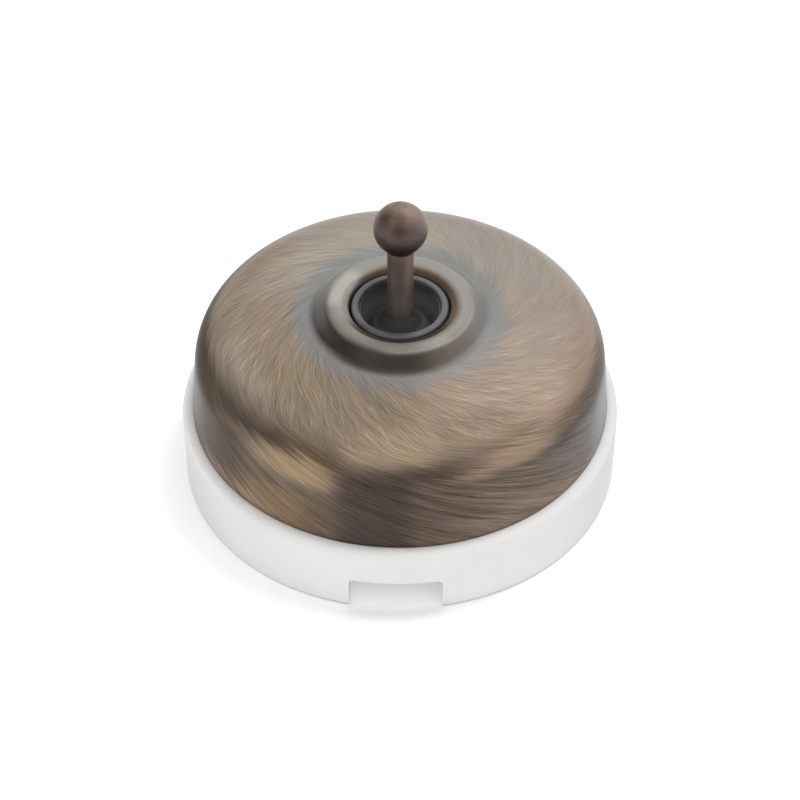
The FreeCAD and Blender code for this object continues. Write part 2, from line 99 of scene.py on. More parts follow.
def colour_mix(tree, share, first, second):
    """Mixes two colours, each written as (red, green, blue) or taken from a socket."""
    ends = [colour if isinstance(colour, bpy.types.NodeSocket) else (*colour, 1.0)
            for colour in (first, second)]
    inputs = {0: share, 6: ends[0], 7: ends[1]}
    return add_node(tree, "ShaderNodeMix", {"data_type": "RGBA"}, inputs).outputs[2]


def noise(tree, place, scale, detail=2.0, rough=0.5):
    inputs = {"Vector": place, "Scale": scale, "Detail": detail, "Roughness": rough}
    return add_node(tree, "ShaderNodeTexNoise", {}, inputs).outputs["Fac"]


def new_material(name):
    """Material with a plain shader: gives it, its node tree, its shader and Object coordinates."""
    material = bpy.data.materials.new(name)
    material.use_nodes = True
    tree = material.node_tree
    shader = tree.nodes["Principled BSDF"]
    place = add_node(tree, "ShaderNodeTexCoord", {}, {}).outputs["Object"]
    return material, tree, shader, place


def split(tree, vector):
    """X, Y and Z of a vector, as sockets."""
    return add_node(tree, "ShaderNodeSeparateXYZ", {}, {"Vector": vector}).outputs


def raise_surface(tree, shader, height, strength, distance):
    """Feeds a height into the shader's normal through a bump."""
    inputs = {"Height": height, "Strength": strength, "Distance": distance}
    bump = add_node(tree, "ShaderNodeBump", {}, inputs)
    tree.links.new(bump.outputs["Normal"], shader.inputs["Normal"])


def new_group(name, inputs, outputs):
    """Empty shader node group with named number, vector or colour sockets."""
    tree = bpy.data.node_groups.new(name, "ShaderNodeTree")
    for key, kind, value in inputs:
        socket = tree.interface.new_socket(key, in_out="INPUT", socket_type=kind)
        if value is not None:
            socket.default_value = value
    for key, kind in outputs:
        tree.interface.new_socket(key, in_out="OUTPUT", socket_type=kind)
    enter = tree.nodes.new("NodeGroupInput")
    leave = tree.nodes.new("NodeGroupOutput")
    return tree, enter.outputs, leave.inputs


def use_group(tree, group, inputs):
    return add_node(tree, "ShaderNodeGroup", {"node_tree": group}, inputs).outputs


def clothe(names, material):
    """Gives carried-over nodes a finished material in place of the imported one."""
    for name in names:
        slots = nodes[name].data.materials
        slots.clear()
        slots.append(material)


def fired_mottle_group():
    """Uneven tone, stray dark specks and a soft ripple, as on anything pressed or moulded."""
    tree, enter, leave = new_group(
        "fired_mottle",
        [("Place", "NodeSocketVector", None), ("Patch Scale", "NodeSocketFloat", 60.0),
         ("Speck Scale", "NodeSocketFloat", 900.0)],
        [("Tone", "NodeSocketFloat"), ("Specks", "NodeSocketFloat"), ("Ripple", "NodeSocketFloat")])
    broad = noise(tree, enter["Place"], enter["Patch Scale"], 3.0, 0.55)
    tree.links.new(fade(tree, broad, 0.3, 0.7), leave["Tone"])
    cells = add_node(tree, "ShaderNodeTexVoronoi", {},
                     {"Vector": enter["Place"], "Scale": enter["Speck Scale"]})
    dot = fade(tree, cells.outputs["Distance"], 0.22, 0.08)
    chosen = fade(tree, noise(tree, enter["Place"], enter["Patch Scale"], 1.0), 0.62, 0.7)
    tree.links.new(calc(tree, "MULTIPLY", dot, chosen), leave["Specks"])
    tree.links.new(noise(tree, enter["Place"], calc(tree, "MULTIPLY", enter["Patch Scale"], 6.0)),
                   leave["Ripple"])
    return tree


fired_mottle = fired_mottle_group()


def glazed_porcelain():
    glaze = (0.91, 0.91, 0.905)
    warm_glaze = (0.88, 0.876, 0.864)
    biscuit, sandy_biscuit = (0.72, 0.69, 0.63), (0.62, 0.585, 0.525)
    speck = (0.45, 0.41, 0.36)
    foot_dark = (0.33, 0.31, 0.28)
    grazing_shade = (0.745, 0.739, 0.731)
    foot_line, biscuit_full, biscuit_top = 0.0006, 0.003, 0.0045
    material, tree, shader, place = new_material("glazed_porcelain")
    mottle = use_group(tree, fired_mottle, {"Place": place, "Patch Scale": 55.0, "Speck Scale": 700.0})
    colour = colour_mix(tree, mottle["Tone"], glaze, warm_glaze)
    colour = colour_mix(tree, calc(tree, "MULTIPLY", mottle["Specks"], 0.35), colour, speck)
    # Painted shade: the glaze's colour is darkened where it is seen along its skin
    grazing = add_node(tree, "ShaderNodeLayerWeight", {}, {"Blend": 0.5}).outputs["Facing"]
    colour = colour_mix(tree, fade(tree, grazing, 0.48, 0.88), colour, grazing_shade)
    # Biscuit: bare low down, where the base looks at the wall, and darker along the foot
    normal = add_node(tree, "ShaderNodeNewGeometry", {}, {}).outputs["Normal"]
    height = split(tree, place)["Z"]
    bare_and_highlit = fade(tree, split(tree, normal)["Z"], -0.55, -0.8)
    bare_and_highlit = calc(tree, "MULTIPLY", bare_and_highlit, fade(tree, height, biscuit_top, biscuit_full))
    sand = fade(tree, noise(tree, place, 420.0, 3.0, 0.7), 0.40, 0.65)
    colour = colour_mix(tree, bare_and_highlit, colour, colour_mix(tree, sand, biscuit, sandy_biscuit))
    ragged = calc(tree, "MULTIPLY_ADD", noise(tree, place, 900.0), 0.0004, height)
    darkened_foot = fade(tree, ragged, foot_line * 1.5, foot_line * 0.5)
    colour = colour_mix(tree, calc(tree, "MULTIPLY", darkened_foot, 0.7), colour, foot_dark)
    tree.links.new(colour, shader.inputs["Base Color"])
    satin = calc(tree, "MULTIPLY_ADD", mottle["Tone"], 0.08, 0.3)
    tree.links.new(calc(tree, "MULTIPLY_ADD", bare_and_highlit, 0.4, satin), shader.inputs["Roughness"])
    shader.inputs["Specular IOR Level"].default_value = 0.45
    grit = calc(tree, "MULTIPLY", calc(tree, "MULTIPLY", sand, bare_and_highlit), 0.6)
    raise_surface(tree, shader, calc(tree, "ADD", mottle["Ripple"], grit), 0.05, 0.001)
    return material


clothe(["porcelain_base"], glazed_porcelain())


# Contact block: a black thermoset moulding that holds every live part, screwed to the porcelain from
# behind, with the faint brown flow marks and dull skin of such mouldings. The hub is made of it too,
# and a grey band painted round its top is painted light in the dark of the hole.
def black_moulding():
    skin = (0.030, 0.030, 0.031)
    flow = (0.040, 0.038, 0.037)
    speck = (0.07, 0.06, 0.05)
    painted_fill = (0.085, 0.085, 0.086)
    fill_foot, fill_low, fill_high, fill_top = 0.0300, 0.0315, 0.0346, 0.0354
    material, tree, shader, place = new_material("black_moulding")
    mottle = use_group(tree, fired_mottle, {"Place": place, "Patch Scale": 160.0, "Speck Scale": 1800.0})
    colour = colour_mix(tree, mottle["Tone"], skin, flow)
    colour = colour_mix(tree, calc(tree, "MULTIPLY", mottle["Specks"], 0.5), colour, speck)
    height = split(tree, place)["Z"]
    # Painted light: a grey band round the hub's top, against the dark of the hole
    fill_band = calc(tree, "MULTIPLY", fade(tree, height, fill_top, fill_high),
                 fade(tree, height, fill_foot, fill_low))
    colour = colour_mix(tree, fill_band, colour, painted_fill)
    tree.links.new(colour, shader.inputs["Base Color"])
    tree.links.new(calc(tree, "MULTIPLY_ADD", mottle["Tone"], 0.16, 0.55), shader.inputs["Roughness"])
    shader.inputs["Specular IOR Level"].default_value = 0.12
    raise_surface(tree, shader, mottle["Ripple"], 0.12, 0.0004)
    return material


moulding = black_moulding()
clothe(["contact_block"], moulding)


# Screws and pins: bright zinc-plated steel, machine-turned, so their skin carries fine rings and a
# faint straw cast from the plating bath.
def turning_marks_group():
    """Fine rings left by a cutting tool, stacked along one axis and broken here and there."""
    tree, enter, leave = new_group(
        "turning_marks",
        [("Along", "NodeSocketFloat", 0.0), ("Place", "NodeSocketVector", None),
         ("Pitch", "NodeSocketFloat", 0.0002)],
        [("Rings", "NodeSocketFloat"), ("Wander", "NodeSocketFloat")])
    wander = noise(tree, enter["Place"], 140.0, 2.0)
    count = calc(tree, "DIVIDE", enter["Along"], enter["Pitch"])
    count = calc(tree, "MULTIPLY_ADD", wander, 0.6, count)
    rings = add_node(tree, "ShaderNodeTexNoise", {"noise_dimensions": "1D"},
                     {"W": count, "Scale": 1.0, "Detail": 2.0, "Roughness": 0.7})
    tree.links.new(rings.outputs["Fac"], leave["Rings"])
    tree.links.new(wander, leave["Wander"])
    return tree


turning_marks = turning_marks_group()


def bright_steel():
    plated = (0.60, 0.60, 0.61)
    straw = (0.62, 0.57, 0.46)
    dull = (0.36, 0.36, 0.37)
    material, tree, shader, place = new_material("bright_steel")
    height = split(tree, place)["Z"]
    marks = use_group(tree, turning_marks, {"Along": height, "Place": place, "Pitch": 0.00016})
    colour = colour_mix(tree, fade(tree, noise(tree, place, 320.0), 0.4, 0.75), plated, straw)
    colour = colour_mix(tree, fade(tree, marks["Wander"], 0.58, 0.8), colour, dull)
    tree.links.new(colour, shader.inputs["Base Color"])
    shader.inputs["Metallic"].default_value = 1.0
    tree.links.new(calc(tree, "MULTIPLY_ADD", marks["Rings"], 0.22, 0.2), shader.inputs["Roughness"])
    raise_surface(tree, shader, marks["Rings"], 0.15, 0.0001)
    return material


steel = bright_steel()
clothe(["block_screws", "plate_screws", "terminal_screws", "pivot_pin", "fulcrum_pin"], steel)


# Strips, bracket, blade, terminals and bush plate: bare half-hard brass, rolled and stamped or cut from
# bar, with the rolling grain still on it and a thin uneven tarnish.
def tarnish_group():
    """Blotches and small spots where bare metal has dulled with age."""
    tree, enter, leave = new_group(
        "tarnish",
        [("Place", "NodeSocketVector", None), ("Blotch Scale", "NodeSocketFloat", 160.0)],
        [("Blotches", "NodeSocketFloat"), ("Spots", "NodeSocketFloat")])
    broad = noise(tree, enter["Place"], enter["Blotch Scale"], 4.0, 0.6)
    tree.links.new(fade(tree, broad, 0.42, 0.72), leave["Blotches"])
    small = noise(tree, enter["Place"], calc(tree, "MULTIPLY", enter["Blotch Scale"], 7.0), 2.0, 0.6)
    tree.links.new(fade(tree, small, 0.64, 0.74), leave["Spots"])
    return tree


tarnish = tarnish_group()


def plain_brass():
    clean = (0.74, 0.54, 0.23)
    dulled = (0.47, 0.33, 0.15)
    spot = (0.24, 0.15, 0.08)
    material, tree, shader, place = new_material("plain_brass")
    age = use_group(tree, tarnish, {"Place": place, "Blotch Scale": 170.0})
    stretched = add_node(tree, "ShaderNodeMapping", {},
                         {"Vector": place, "Scale": (90.0, 2600.0, 1400.0)})
    grain = noise(tree, stretched.outputs["Vector"], 1.0, 3.0, 0.6)
    colour = colour_mix(tree, calc(tree, "MULTIPLY", age["Blotches"], 0.8), clean, dulled)
    colour = colour_mix(tree, calc(tree, "MULTIPLY", age["Spots"], 0.6), colour, spot)
    tree.links.new(colour, shader.inputs["Base Color"])
    shader.inputs["Metallic"].default_value = 1.0
    rough = calc(tree, "MULTIPLY_ADD", grain, 0.18, 0.18)
    tree.links.new(calc(tree, "MULTIPLY_ADD", age["Blotches"], 0.16, rough), shader.inputs["Roughness"])
    raise_surface(tree, shader, grain, 0.12, 0.0001)
    return material


clothe(["common_strip", "way_one_strip", "way_two_strip", "fulcrum_bracket", "rocker_blade",
        "common_terminal", "way_one_terminal", "way_two_terminal", "earth_terminal",
        "bush_plate"], plain_brass())


# Contacts: silver-alloy rivets, headed cold into the two way strips and into both ends of the blade.
# Small arcs have greyed and pitted them.
def contact_silver():
    silver = (0.80, 0.78, 0.74)
    sooted = (0.30, 0.28, 0.26)
    material, tree, shader, place = new_material("contact_silver")
    age = use_group(tree, tarnish, {"Place": place, "Blotch Scale": 500.0})
    colour = colour_mix(tree, calc(tree, "MULTIPLY", age["Blotches"], 0.75), silver, sooted)
    tree.links.new(colour, shader.inputs["Base Color"])
    shader.inputs["Metallic"].default_value = 1.0
    tree.links.new(calc(tree, "MULTIPLY_ADD", age["Blotches"], 0.3, 0.22), shader.inputs["Roughness"])
    raise_surface(tree, shader, age["Spots"], 0.2, 0.00005)
    return material


clothe(["rocker_contacts", "fixed_contacts"], contact_silver())


# Hub, plunger and spring: the hub is the same black moulding as the block, and swings on the steel pin
# in the bush. The plunger is a nylon peg in its barrel, pushed down on the see-saw by a coil spring of
# plated wire.
def pale_nylon():
    nylon = (0.72, 0.70, 0.62)
    yellowed = (0.66, 0.61, 0.48)
    material, tree, shader, place = new_material("pale_nylon")
    mottle = use_group(tree, fired_mottle, {"Place": place, "Patch Scale": 400.0, "Speck Scale": 3000.0})
    tree.links.new(colour_mix(tree, mottle["Tone"], nylon, yellowed), shader.inputs["Base Color"])
    tree.links.new(calc(tree, "MULTIPLY_ADD", mottle["Tone"], 0.1, 0.4), shader.inputs["Roughness"])
    raise_surface(tree, shader, mottle["Ripple"], 0.1, 0.0002)
    return material


joints = {joint["name"]: joint for joint in frame["joints"]}
pivot = Vector(joints["dolly_hinge"]["pos_m"])
dolly_lean = math.radians(12.0)


def lean_back(piece):
    """Leans a piece of the dolly, drawn upright about its pivot, back to its rest."""
    piece.location = pivot
    piece.rotation_euler = (-dolly_lean, 0, 0)
    bpy.ops.object.transform_apply(location=True, rotation=True)


def coil_spring():
    wire, coil, turns = 0.0002, 0.00134, 5
    wire_sides, turn_steps, weld = 16, 48, 1e-7
    # Heights along the dolly, from its pivot
    first, last, seat, shoulder = -0.00657, -0.00243, -0.0022, -0.0068
    bpy.ops.object.select_all(action="DESELECT")
    bpy.ops.mesh.primitive_circle_add(vertices=wire_sides, radius=wire, location=(coil, 0, first),
                                      rotation=(math.pi / 2, 0, 0))
    piece = bpy.context.object
    piece.name = piece.data.name = "coil_spring"
    bpy.ops.object.transform_apply(location=True, rotation=True)
    winding = piece.modifiers.new("winding", "SCREW")
    winding.axis = "Z"
    winding.angle = 2 * math.pi
    winding.screw_offset = (last - first) / turns
    winding.iterations = turns
    winding.steps = winding.render_steps = turn_steps
    bpy.ops.object.modifier_apply(modifier=winding.name)
    bpy.ops.object.mode_set(mode="EDIT")
    bpy.ops.mesh.select_all(action="SELECT")
    bpy.ops.mesh.remove_doubles(threshold=weld)
    bpy.ops.mesh.fill_holes(sides=0)
    bpy.ops.mesh.select_all(action="SELECT")
    bpy.ops.mesh.normals_make_consistent(inside=False)
    bpy.ops.object.mode_set(mode="OBJECT")
    bpy.ops.object.shade_smooth_by_angle(angle=math.radians(40))
    lean_back(piece)
    piece.data.materials.append(steel)
    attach(piece, "dolly")
    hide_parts("plunger_spring")
    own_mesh(piece)


clothe(["dolly_hub"], moulding)
clothe(["plunger"], pale_nylon())
coil_spring()


# Dolly lever: turned from one bar, a ball on a plain stem with a thin tail that screws into the hub.
# It is chemically darkened to a brown bronze, with painted highlights on the ball and the stem and
# painted light on the stem's foot, where it leaves the hub.
def lathe(name, corners, steps, arc_step=0.12):
    """Turned piece: its outline of (radius, height, corner round) is drawn from corner to corner,
    straight runs by extrude and rounds by spin, and is then spun about the axis."""
    shortest_run, weld, smooth_below = 1e-7, 1e-6, math.radians(32)
    bpy.ops.object.select_all(action="DESELECT")
    path = [Vector((radius, height)) for radius, height, _ in corners]
    bpy.ops.mesh.primitive_plane_add(size=0.001, location=(path[0].x, 0, path[0].y))
    piece = bpy.context.object
    piece.name = piece.data.name = name
    bpy.ops.object.transform_apply(location=True)
    bpy.ops.object.mode_set(mode="EDIT")
    bpy.ops.mesh.select_mode(type="VERT")
    bpy.ops.mesh.select_all(action="SELECT")
    bpy.ops.mesh.merge(type="CENTER")
    here = path[0]
    for index in range(1, len(path)):
        corner, rounding = path[index], corners[index][2]
        inward = (corner - path[index - 1]).normalized()
        turn = 0.0
        if rounding:
            outward = (path[index + 1] - corner).normalized()
            turn = math.atan2(inward.cross(outward), inward.dot(outward))
        reach = rounding * math.tan(abs(turn) / 2)
        stop = corner - inward * reach
        if (stop - here).length > shortest_run:
            run = stop - here
            bpy.ops.mesh.extrude_region_move(TRANSFORM_OT_translate={"value": (run.x, 0, run.y)})
        here = stop
        if rounding:
            side = Vector((-inward.y, inward.x)) * math.copysign(rounding, turn)
            centre = stop + side
            bpy.ops.mesh.spin(steps=max(3, math.ceil(abs(turn) / arc_step)), angle=turn,
                              center=(centre.x, 0, centre.y), axis=(0, 1, 0))
            here = corner + outward * reach
    bpy.ops.mesh.select_all(action="SELECT")
    bpy.ops.mesh.spin(steps=steps, angle=2 * math.pi, center=(0, 0, 0), axis=(0, 0, 1))
    bpy.ops.mesh.select_all(action="SELECT")
    bpy.ops.mesh.remove_doubles(threshold=weld)
    bpy.ops.mesh.normals_make_consistent(inside=False)
    bpy.ops.object.mode_set(mode="OBJECT")
    bpy.ops.object.shade_smooth_by_angle(angle=smooth_below)
    return piece


def dark_bronze():
    rubbed_and_highlight = (0.323, 0.251, 0.204)
    brown = (0.120, 0.095, 0.088)
    stem_brown = (0.116, 0.095, 0.090)
    stem_light = (0.270, 0.218, 0.194)
    stem_highlight = (0.400, 0.315, 0.290)
    pale_foot = (0.620, 0.485, 0.450)
    russet = (0.255, 0.150, 0.095)
    black = (0.060, 0.050, 0.045)
    ball_height, ball_foot = 0.02435, 0.0195
    lit_side = (0.40, 0.35, 0.85)
    material, tree, shader, place = new_material("dark_bronze")
    upright = add_node(tree, "ShaderNodeMapping", {"vector_type": "TEXTURE"},
                       {"Vector": place, "Location": pivot, "Rotation": (-dolly_lean, 0, 0)})
    upright = upright.outputs["Vector"]
    axes = split(tree, upright)
    marks = use_group(tree, turning_marks, {"Along": axes["Z"], "Place": upright, "Pitch": 0.00022})
    age = use_group(tree, tarnish, {"Place": upright, "Blotch Scale": 170.0})
    # Ball: a painted highlight on its upper side, and painted shade in smudges on its left
    from_centre = add_node(tree, "ShaderNodeVectorMath", {"operation": "SUBTRACT"},
                           {0: upright, 1: (0, 0, ball_height)})
    toward_light = add_node(tree, "ShaderNodeVectorMath", {"operation": "DOT_PRODUCT"},
                          {0: from_centre.outputs[0], 1: lit_side}).outputs["Value"]
    ball = colour_mix(tree, fade(tree, toward_light, 0.0005, 0.0050), brown, rubbed_and_highlight)
    left_shade = fade(tree, noise(tree, upright, 230.0, 3.0, 0.6), 0.46, 0.62)
    left_shade = calc(tree, "MULTIPLY", left_shade, fade(tree, axes["X"], 0.0030, 0.0))
    ball = colour_mix(tree, calc(tree, "MULTIPLY", left_shade, 0.5), ball, black)
    # Stem: russet runs along it, painted highlights down its right side and its lower left side, and
    # painted light where it leaves the hub
    drawn_out = add_node(tree, "ShaderNodeMapping", {},
                         {"Vector": upright, "Scale": (420.0, 420.0, 30.0)})
    runs = fade(tree, noise(tree, drawn_out.outputs["Vector"], 1.0), 0.45, 0.7)
    stem = colour_mix(tree, fade(tree, axes["X"], 0.0004, 0.0019), stem_brown, stem_light)
    stem = colour_mix(tree, calc(tree, "MULTIPLY", runs, 0.25), stem, russet)
    left_highlight = calc(tree, "MULTIPLY_ADD", fade(tree, axes["X"], -0.0004, -0.0016), 0.12, 0.11)
    left_highlight = calc(tree, "MULTIPLY", fade(tree, axes["Z"], 0.0175, 0.0140), left_highlight)
    stem = colour_mix(tree, left_highlight, stem, stem_highlight)
    lit_foot = fade(tree, axes["Z"], 0.0135, 0.0070)
    stem = colour_mix(tree, calc(tree, "MULTIPLY", lit_foot, 0.9), stem, pale_foot)
    colour = colour_mix(tree, fade(tree, axes["Z"], ball_foot - 0.0004, ball_foot + 0.0006), stem, ball)
    colour = colour_mix(tree, calc(tree, "MULTIPLY", age["Blotches"], 0.5), colour, russet)
    colour = colour_mix(tree, calc(tree, "MULTIPLY", fade(tree, marks["Rings"], 0.45, 0.7), 0.12),
                        colour, black)
    tree.links.new(colour, shader.inputs["Base Color"])
    shader.inputs["Metallic"].default_value = 1.0
    tree.links.new(calc(tree, "MULTIPLY_ADD", marks["Rings"], 0.12, 0.40), shader.inputs["Roughness"])
    raise_surface(tree, shader, marks["Rings"], 0.03, 0.0001)
    return material


def turned_dolly():
    ball = 0.00505
    stem = 0.00245
    neck_round = 0.0006
    tail = 0.0020
    centre = 0.02435
    hub_seat = 0.0063
    tail_end = 0.0022
    end_break = 0.0002
    # The ball's outline leaves its widest point and bends into the neck's round without a step
    neck_turn = math.acos((stem + neck_round) / (ball + neck_round))
    fall = ball * math.tan(neck_turn / 2)
    run = (ball - stem) / math.sin(neck_turn)
    neck = centre - fall - run * math.cos(neck_turn)
    piece = lathe("turned_dolly", [
        (0, centre + ball, 0), (ball, centre + ball, ball), (ball, centre - fall, ball),
        (stem, neck, neck_round), (stem, hub_seat, end_break), (tail, hub_seat, end_break / 2),
        (tail, tail_end, end_break), (0, tail_end, 0)], steps=96, arc_step=0.07)
    lean_back(piece)
    piece.data.materials.append(dark_bronze())
    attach(piece, "dolly")
    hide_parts("dolly_lever")


turned_dolly()


# Brass cover: a disc of thin sheet spun over a former into a dome with a raised collar, its edge
# turned down into the ring's seat. It is browned, then swirled by hand with a fine abrasive pad.
def about_axis(tree, place):
    """Height of a place, its distance from the switch's axis and its angle about it."""
    axes = split(tree, place)
    flat = add_node(tree, "ShaderNodeCombineXYZ", {}, {"X": axes["X"], "Y": axes["Y"]})
    radius = add_node(tree, "ShaderNodeVectorMath", {"operation": "LENGTH"}, {0: flat.outputs[0]})
    return axes["Z"], radius.outputs["Value"], calc(tree, "ARCTAN2", axes["Y"], axes["X"])


def swirl_strokes(tree, place):
    """The hand-brushed grain along one spiral: fine strokes, strays to both sides of it and broad
    sweeps, with the distance over the metal from the axis and the angle about it."""
    crown_pull = 1.19
    wall_pull = 38.0
    wall_top, wall_reach, wall_share = 0.0335, 0.034, 0.9
    height, radius, around = about_axis(tree, place)
    drop = calc(tree, "MAXIMUM", calc(tree, "SUBTRACT", wall_top, height), 0.0)
    reach = calc(tree, "MULTIPLY_ADD", drop, wall_share, radius)
    past = calc(tree, "MAXIMUM", calc(tree, "SUBTRACT", reach, wall_reach), 0.0)
    sweep = calc(tree, "MULTIPLY_ADD", calc(tree, "LOGARITHM", reach, math.e), crown_pull,
                 calc(tree, "MULTIPLY", around, -1.0))
    sweep = calc(tree, "MULTIPLY_ADD", past, wall_pull, sweep)
    sweep = calc(tree, "MULTIPLY_ADD", noise(tree, place, 90.0, 1.0), 0.045, sweep)

    def strokes(count, length, tilt, detail):
        angle = calc(tree, "MULTIPLY_ADD", reach, tilt, sweep)
        east = calc(tree, "MULTIPLY", calc(tree, "COSINE", angle), count)
        north = calc(tree, "MULTIPLY", calc(tree, "SINE", angle), count)
        along = calc(tree, "DIVIDE", reach, length)
        where = add_node(tree, "ShaderNodeCombineXYZ", {}, {"X": east, "Y": north, "Z": along})
        return noise(tree, where.outputs[0], 1.0, detail, 0.65)

    outer = fade(tree, reach, 0.020, 0.034)
    near, far = strokes(115.0, 0.0048, 0.0, 3.0), strokes(185.0, 0.0056, 0.0, 3.0)
    fine = add_node(tree, "ShaderNodeMix", {}, {0: outer, 2: near, 3: far}).outputs[0]
    steep = strokes(100.0, 0.0046, -15.0, 2.0)
    flat_lying = strokes(120.0, 0.0046, 24.0, 2.0)
    broad = strokes(13.0, 0.014, 0.0, 2.0)
    return fine, steep, flat_lying, broad, reach, around


def sector(tree, around, centre, full, none):
    """Mask that is 1 within full degrees of a direction about the axis and 0 beyond none degrees."""
    offset = calc(tree, "COSINE", calc(tree, "SUBTRACT", around, math.radians(centre)))
    return fade(tree, offset, math.cos(math.radians(none)), math.cos(math.radians(full)))


def shade(tree, colour, amount):
    """Makes a colour darker or lighter by a factor."""
    return add_node(tree, "ShaderNodeVectorMath", {"operation": "SCALE"},
                    {0: colour, "Scale": amount}).outputs[0]


def aged_brass():
    worn, grey, pale = (0.315, 0.250, 0.188), (0.350, 0.322, 0.292), (0.385, 0.340, 0.280)
    pink, halo, pale_halo = (0.335, 0.252, 0.196), (0.234, 0.240, 0.237), (0.300, 0.310, 0.308)
    collar, shaded_lip, cool = (0.325, 0.315, 0.285), (0.066, 0.061, 0.057), (0.110, 0.110, 0.109)
    brown, dark_brown, light_brown = (0.151, 0.112, 0.081), (0.080, 0.060, 0.048), (0.185, 0.143, 0.112)
    russet, gold, tan = (0.220, 0.146, 0.090), (0.412, 0.308, 0.188), (0.335, 0.250, 0.184)
    bare_and_highlit, rubbed_and_highlight, dark_reflection = (0.390, 0.305, 0.205), (0.480, 0.455, 0.412), (0.050, 0.033, 0.021)
    umber, black_shade, red_brown = (0.051, 0.040, 0.033), (0.026, 0.021, 0.019), (0.120, 0.071, 0.040)
    edge_grey, edge_light = (0.120, 0.130, 0.130), (0.238, 0.245, 0.250)
    full_sheen, dim_sheen = (1, 1, 1), (0.76, 0.73, 0.70)
    no_cast, rosy_cast, straw_cast = (1, 1, 1), (1.008, 0.986, 1.022), (1.012, 1.002, 0.950)
    lip_dull, lip_clear = 0.0096, 0.0104
    mm = 0.001
    material, tree, shader, place = new_material("aged_brass")
    # Many tints below are painted reflections and painted shade, laid by direction about the axis and by
    # distance over the metal, on the brass's own tone
    fine, steep, flat_lying, broad, reach, around = swirl_strokes(tree, place)
    brushed = fade(tree, reach, 0.0150, 0.0210)
    on_wall = fade(tree, reach, 0.0370, 0.0420)

    def joined(*masks):
        share = masks[0]
        for mask in masks[1:]:
            share = calc(tree, "MULTIPLY", share, mask)
        return share

    def torn(value, by_broad, by_fine):
        """Frays a distance or an angle along the strokes, so that what it bounds ends in streaks."""
        for grain, amount in ((broad, by_broad), (fine, by_fine)):
            swing = joined(calc(tree, "SUBTRACT", grain, 0.5), brushed)
            value = calc(tree, "MULTIPLY_ADD", swing, amount, value)
        return value

    far, turn = torn(reach, 0.006, 0.003), torn(around, 0.16, 0.08)

    def tinted(colour, places):
        """Tints places in turn. Each row holds a tint, its share, a sector about the axis in degrees
        (centre, full, none) and the millimetres over the metal where it comes in and dies away."""
        for tint, share, toward, comes, dies in places:
            if toward:
                share = joined(sector(tree, turn, *toward), share)
            if comes:
                share = joined(fade(tree, far, comes[0] * mm, comes[1] * mm), share)
            if dies:
                share = joined(fade(tree, far, dies[1] * mm, dies[0] * mm), share)
            colour = colour_mix(tree, share, colour, tint)
        return colour

    # Crown: painted reflections laid by direction over the brass's tone: grey behind, pale on the left,
    # pink on the right, brown in front with a pale painted highlight
    colour = colour_mix(tree, joined(sector(tree, around, 45.0, 45.0, 120.0), 0.7), worn, grey)
    colour = tinted(colour, (
        (pale, 1.0, (118, 25, 58), None, (24.0, 35.0)),
        (pink, 0.40, (334, 8, 58), None, None),
        (pink, 0.80, (334, 8, 58), (26.0, 37.0), None),
        (brown, 0.22, (252, 12, 42), None, None),
        (brown, 0.50, (296, 11, 26), (26.0, 38.0), None),
        (brown, 0.40, (242, 6, 18), (30.0, 34.0), None),
        (pale, 0.38, (203, 8, 18), (27.5, 30.5), (35.5, 37.5)),
        (brown, 0.22, (296, 7, 16), (26.5, 29.0), (30.8, 32.8)),
        (brown, 0.13, (344, 4, 9), (29.0, 31.0), (36.8, 38.5)),
        (umber, 0.13, (160, 15, 35), (28.5, 33.0), None),
        (bare_and_highlit, 0.75, (268, 4, 20), (26.0, 34.5), (36.5, 40.0))))
    # Collar: a cool grey painted reflection round it, painted shade in its foot, darkest in front,
    # painted highlights on its top, and at the lip a reddish brown band and a dark band of painted shade
    foot = joined(fade(tree, reach, 0.0125, 0.0142), fade(tree, reach, 0.0177, 0.0159))
    colour = tinted(colour, (
        (halo, 0.86, None, None, (17.2, 22.5)),
        (pale_halo, 0.28, (150, 40, 70), None, (18.0, 23.5)),
        (collar, 1.0, None, None, (13.2, 15.0)),
        (umber, joined(foot, 0.68), (236, 52, 100), None, None),
        (umber, joined(foot, 0.25), (347, 20, 40), None, None),
        (red_brown, joined(foot, 0.25), (314, 10, 30), None, None),
        (red_brown, joined(foot, 0.16), (258, 40, 70), None, None),
        (black_shade, joined(foot, 0.6), (258, 18, 42), None, None),
        (umber, 0.24, (216, 22, 44), (11.2, 13.2), (13.6, 15.0)),
        (rubbed_and_highlight, 0.85, (158, 15, 31), None, (12.5, 14.0)),
        (brown, 0.25, (228, 14, 34), None, (12.5, 14.0)),
        (rubbed_and_highlight, 0.41, (287, 18, 34), (10.8, 11.6), (12.8, 14.2)),
        (tan, 0.55, (205, 30, 60), None, (10.2, 11.0)),
        (light_brown, 0.55, (325, 18, 40), None, (10.8, 12.0)),
        (red_brown, 0.8, None, None, (10.1, 11.1)),
        (shaded_lip, 0.85, None, None, (9.9, 10.5)),
        (collar, 0.75, (185, 28, 50), (9.6, 9.9), (10.4, 11.4)),
        (black_shade, 0.85, (272, 45, 75), None, (10.6, 11.1)),
        (red_brown, 0.75, (45, 45, 95), None, (10.2, 12.0))))
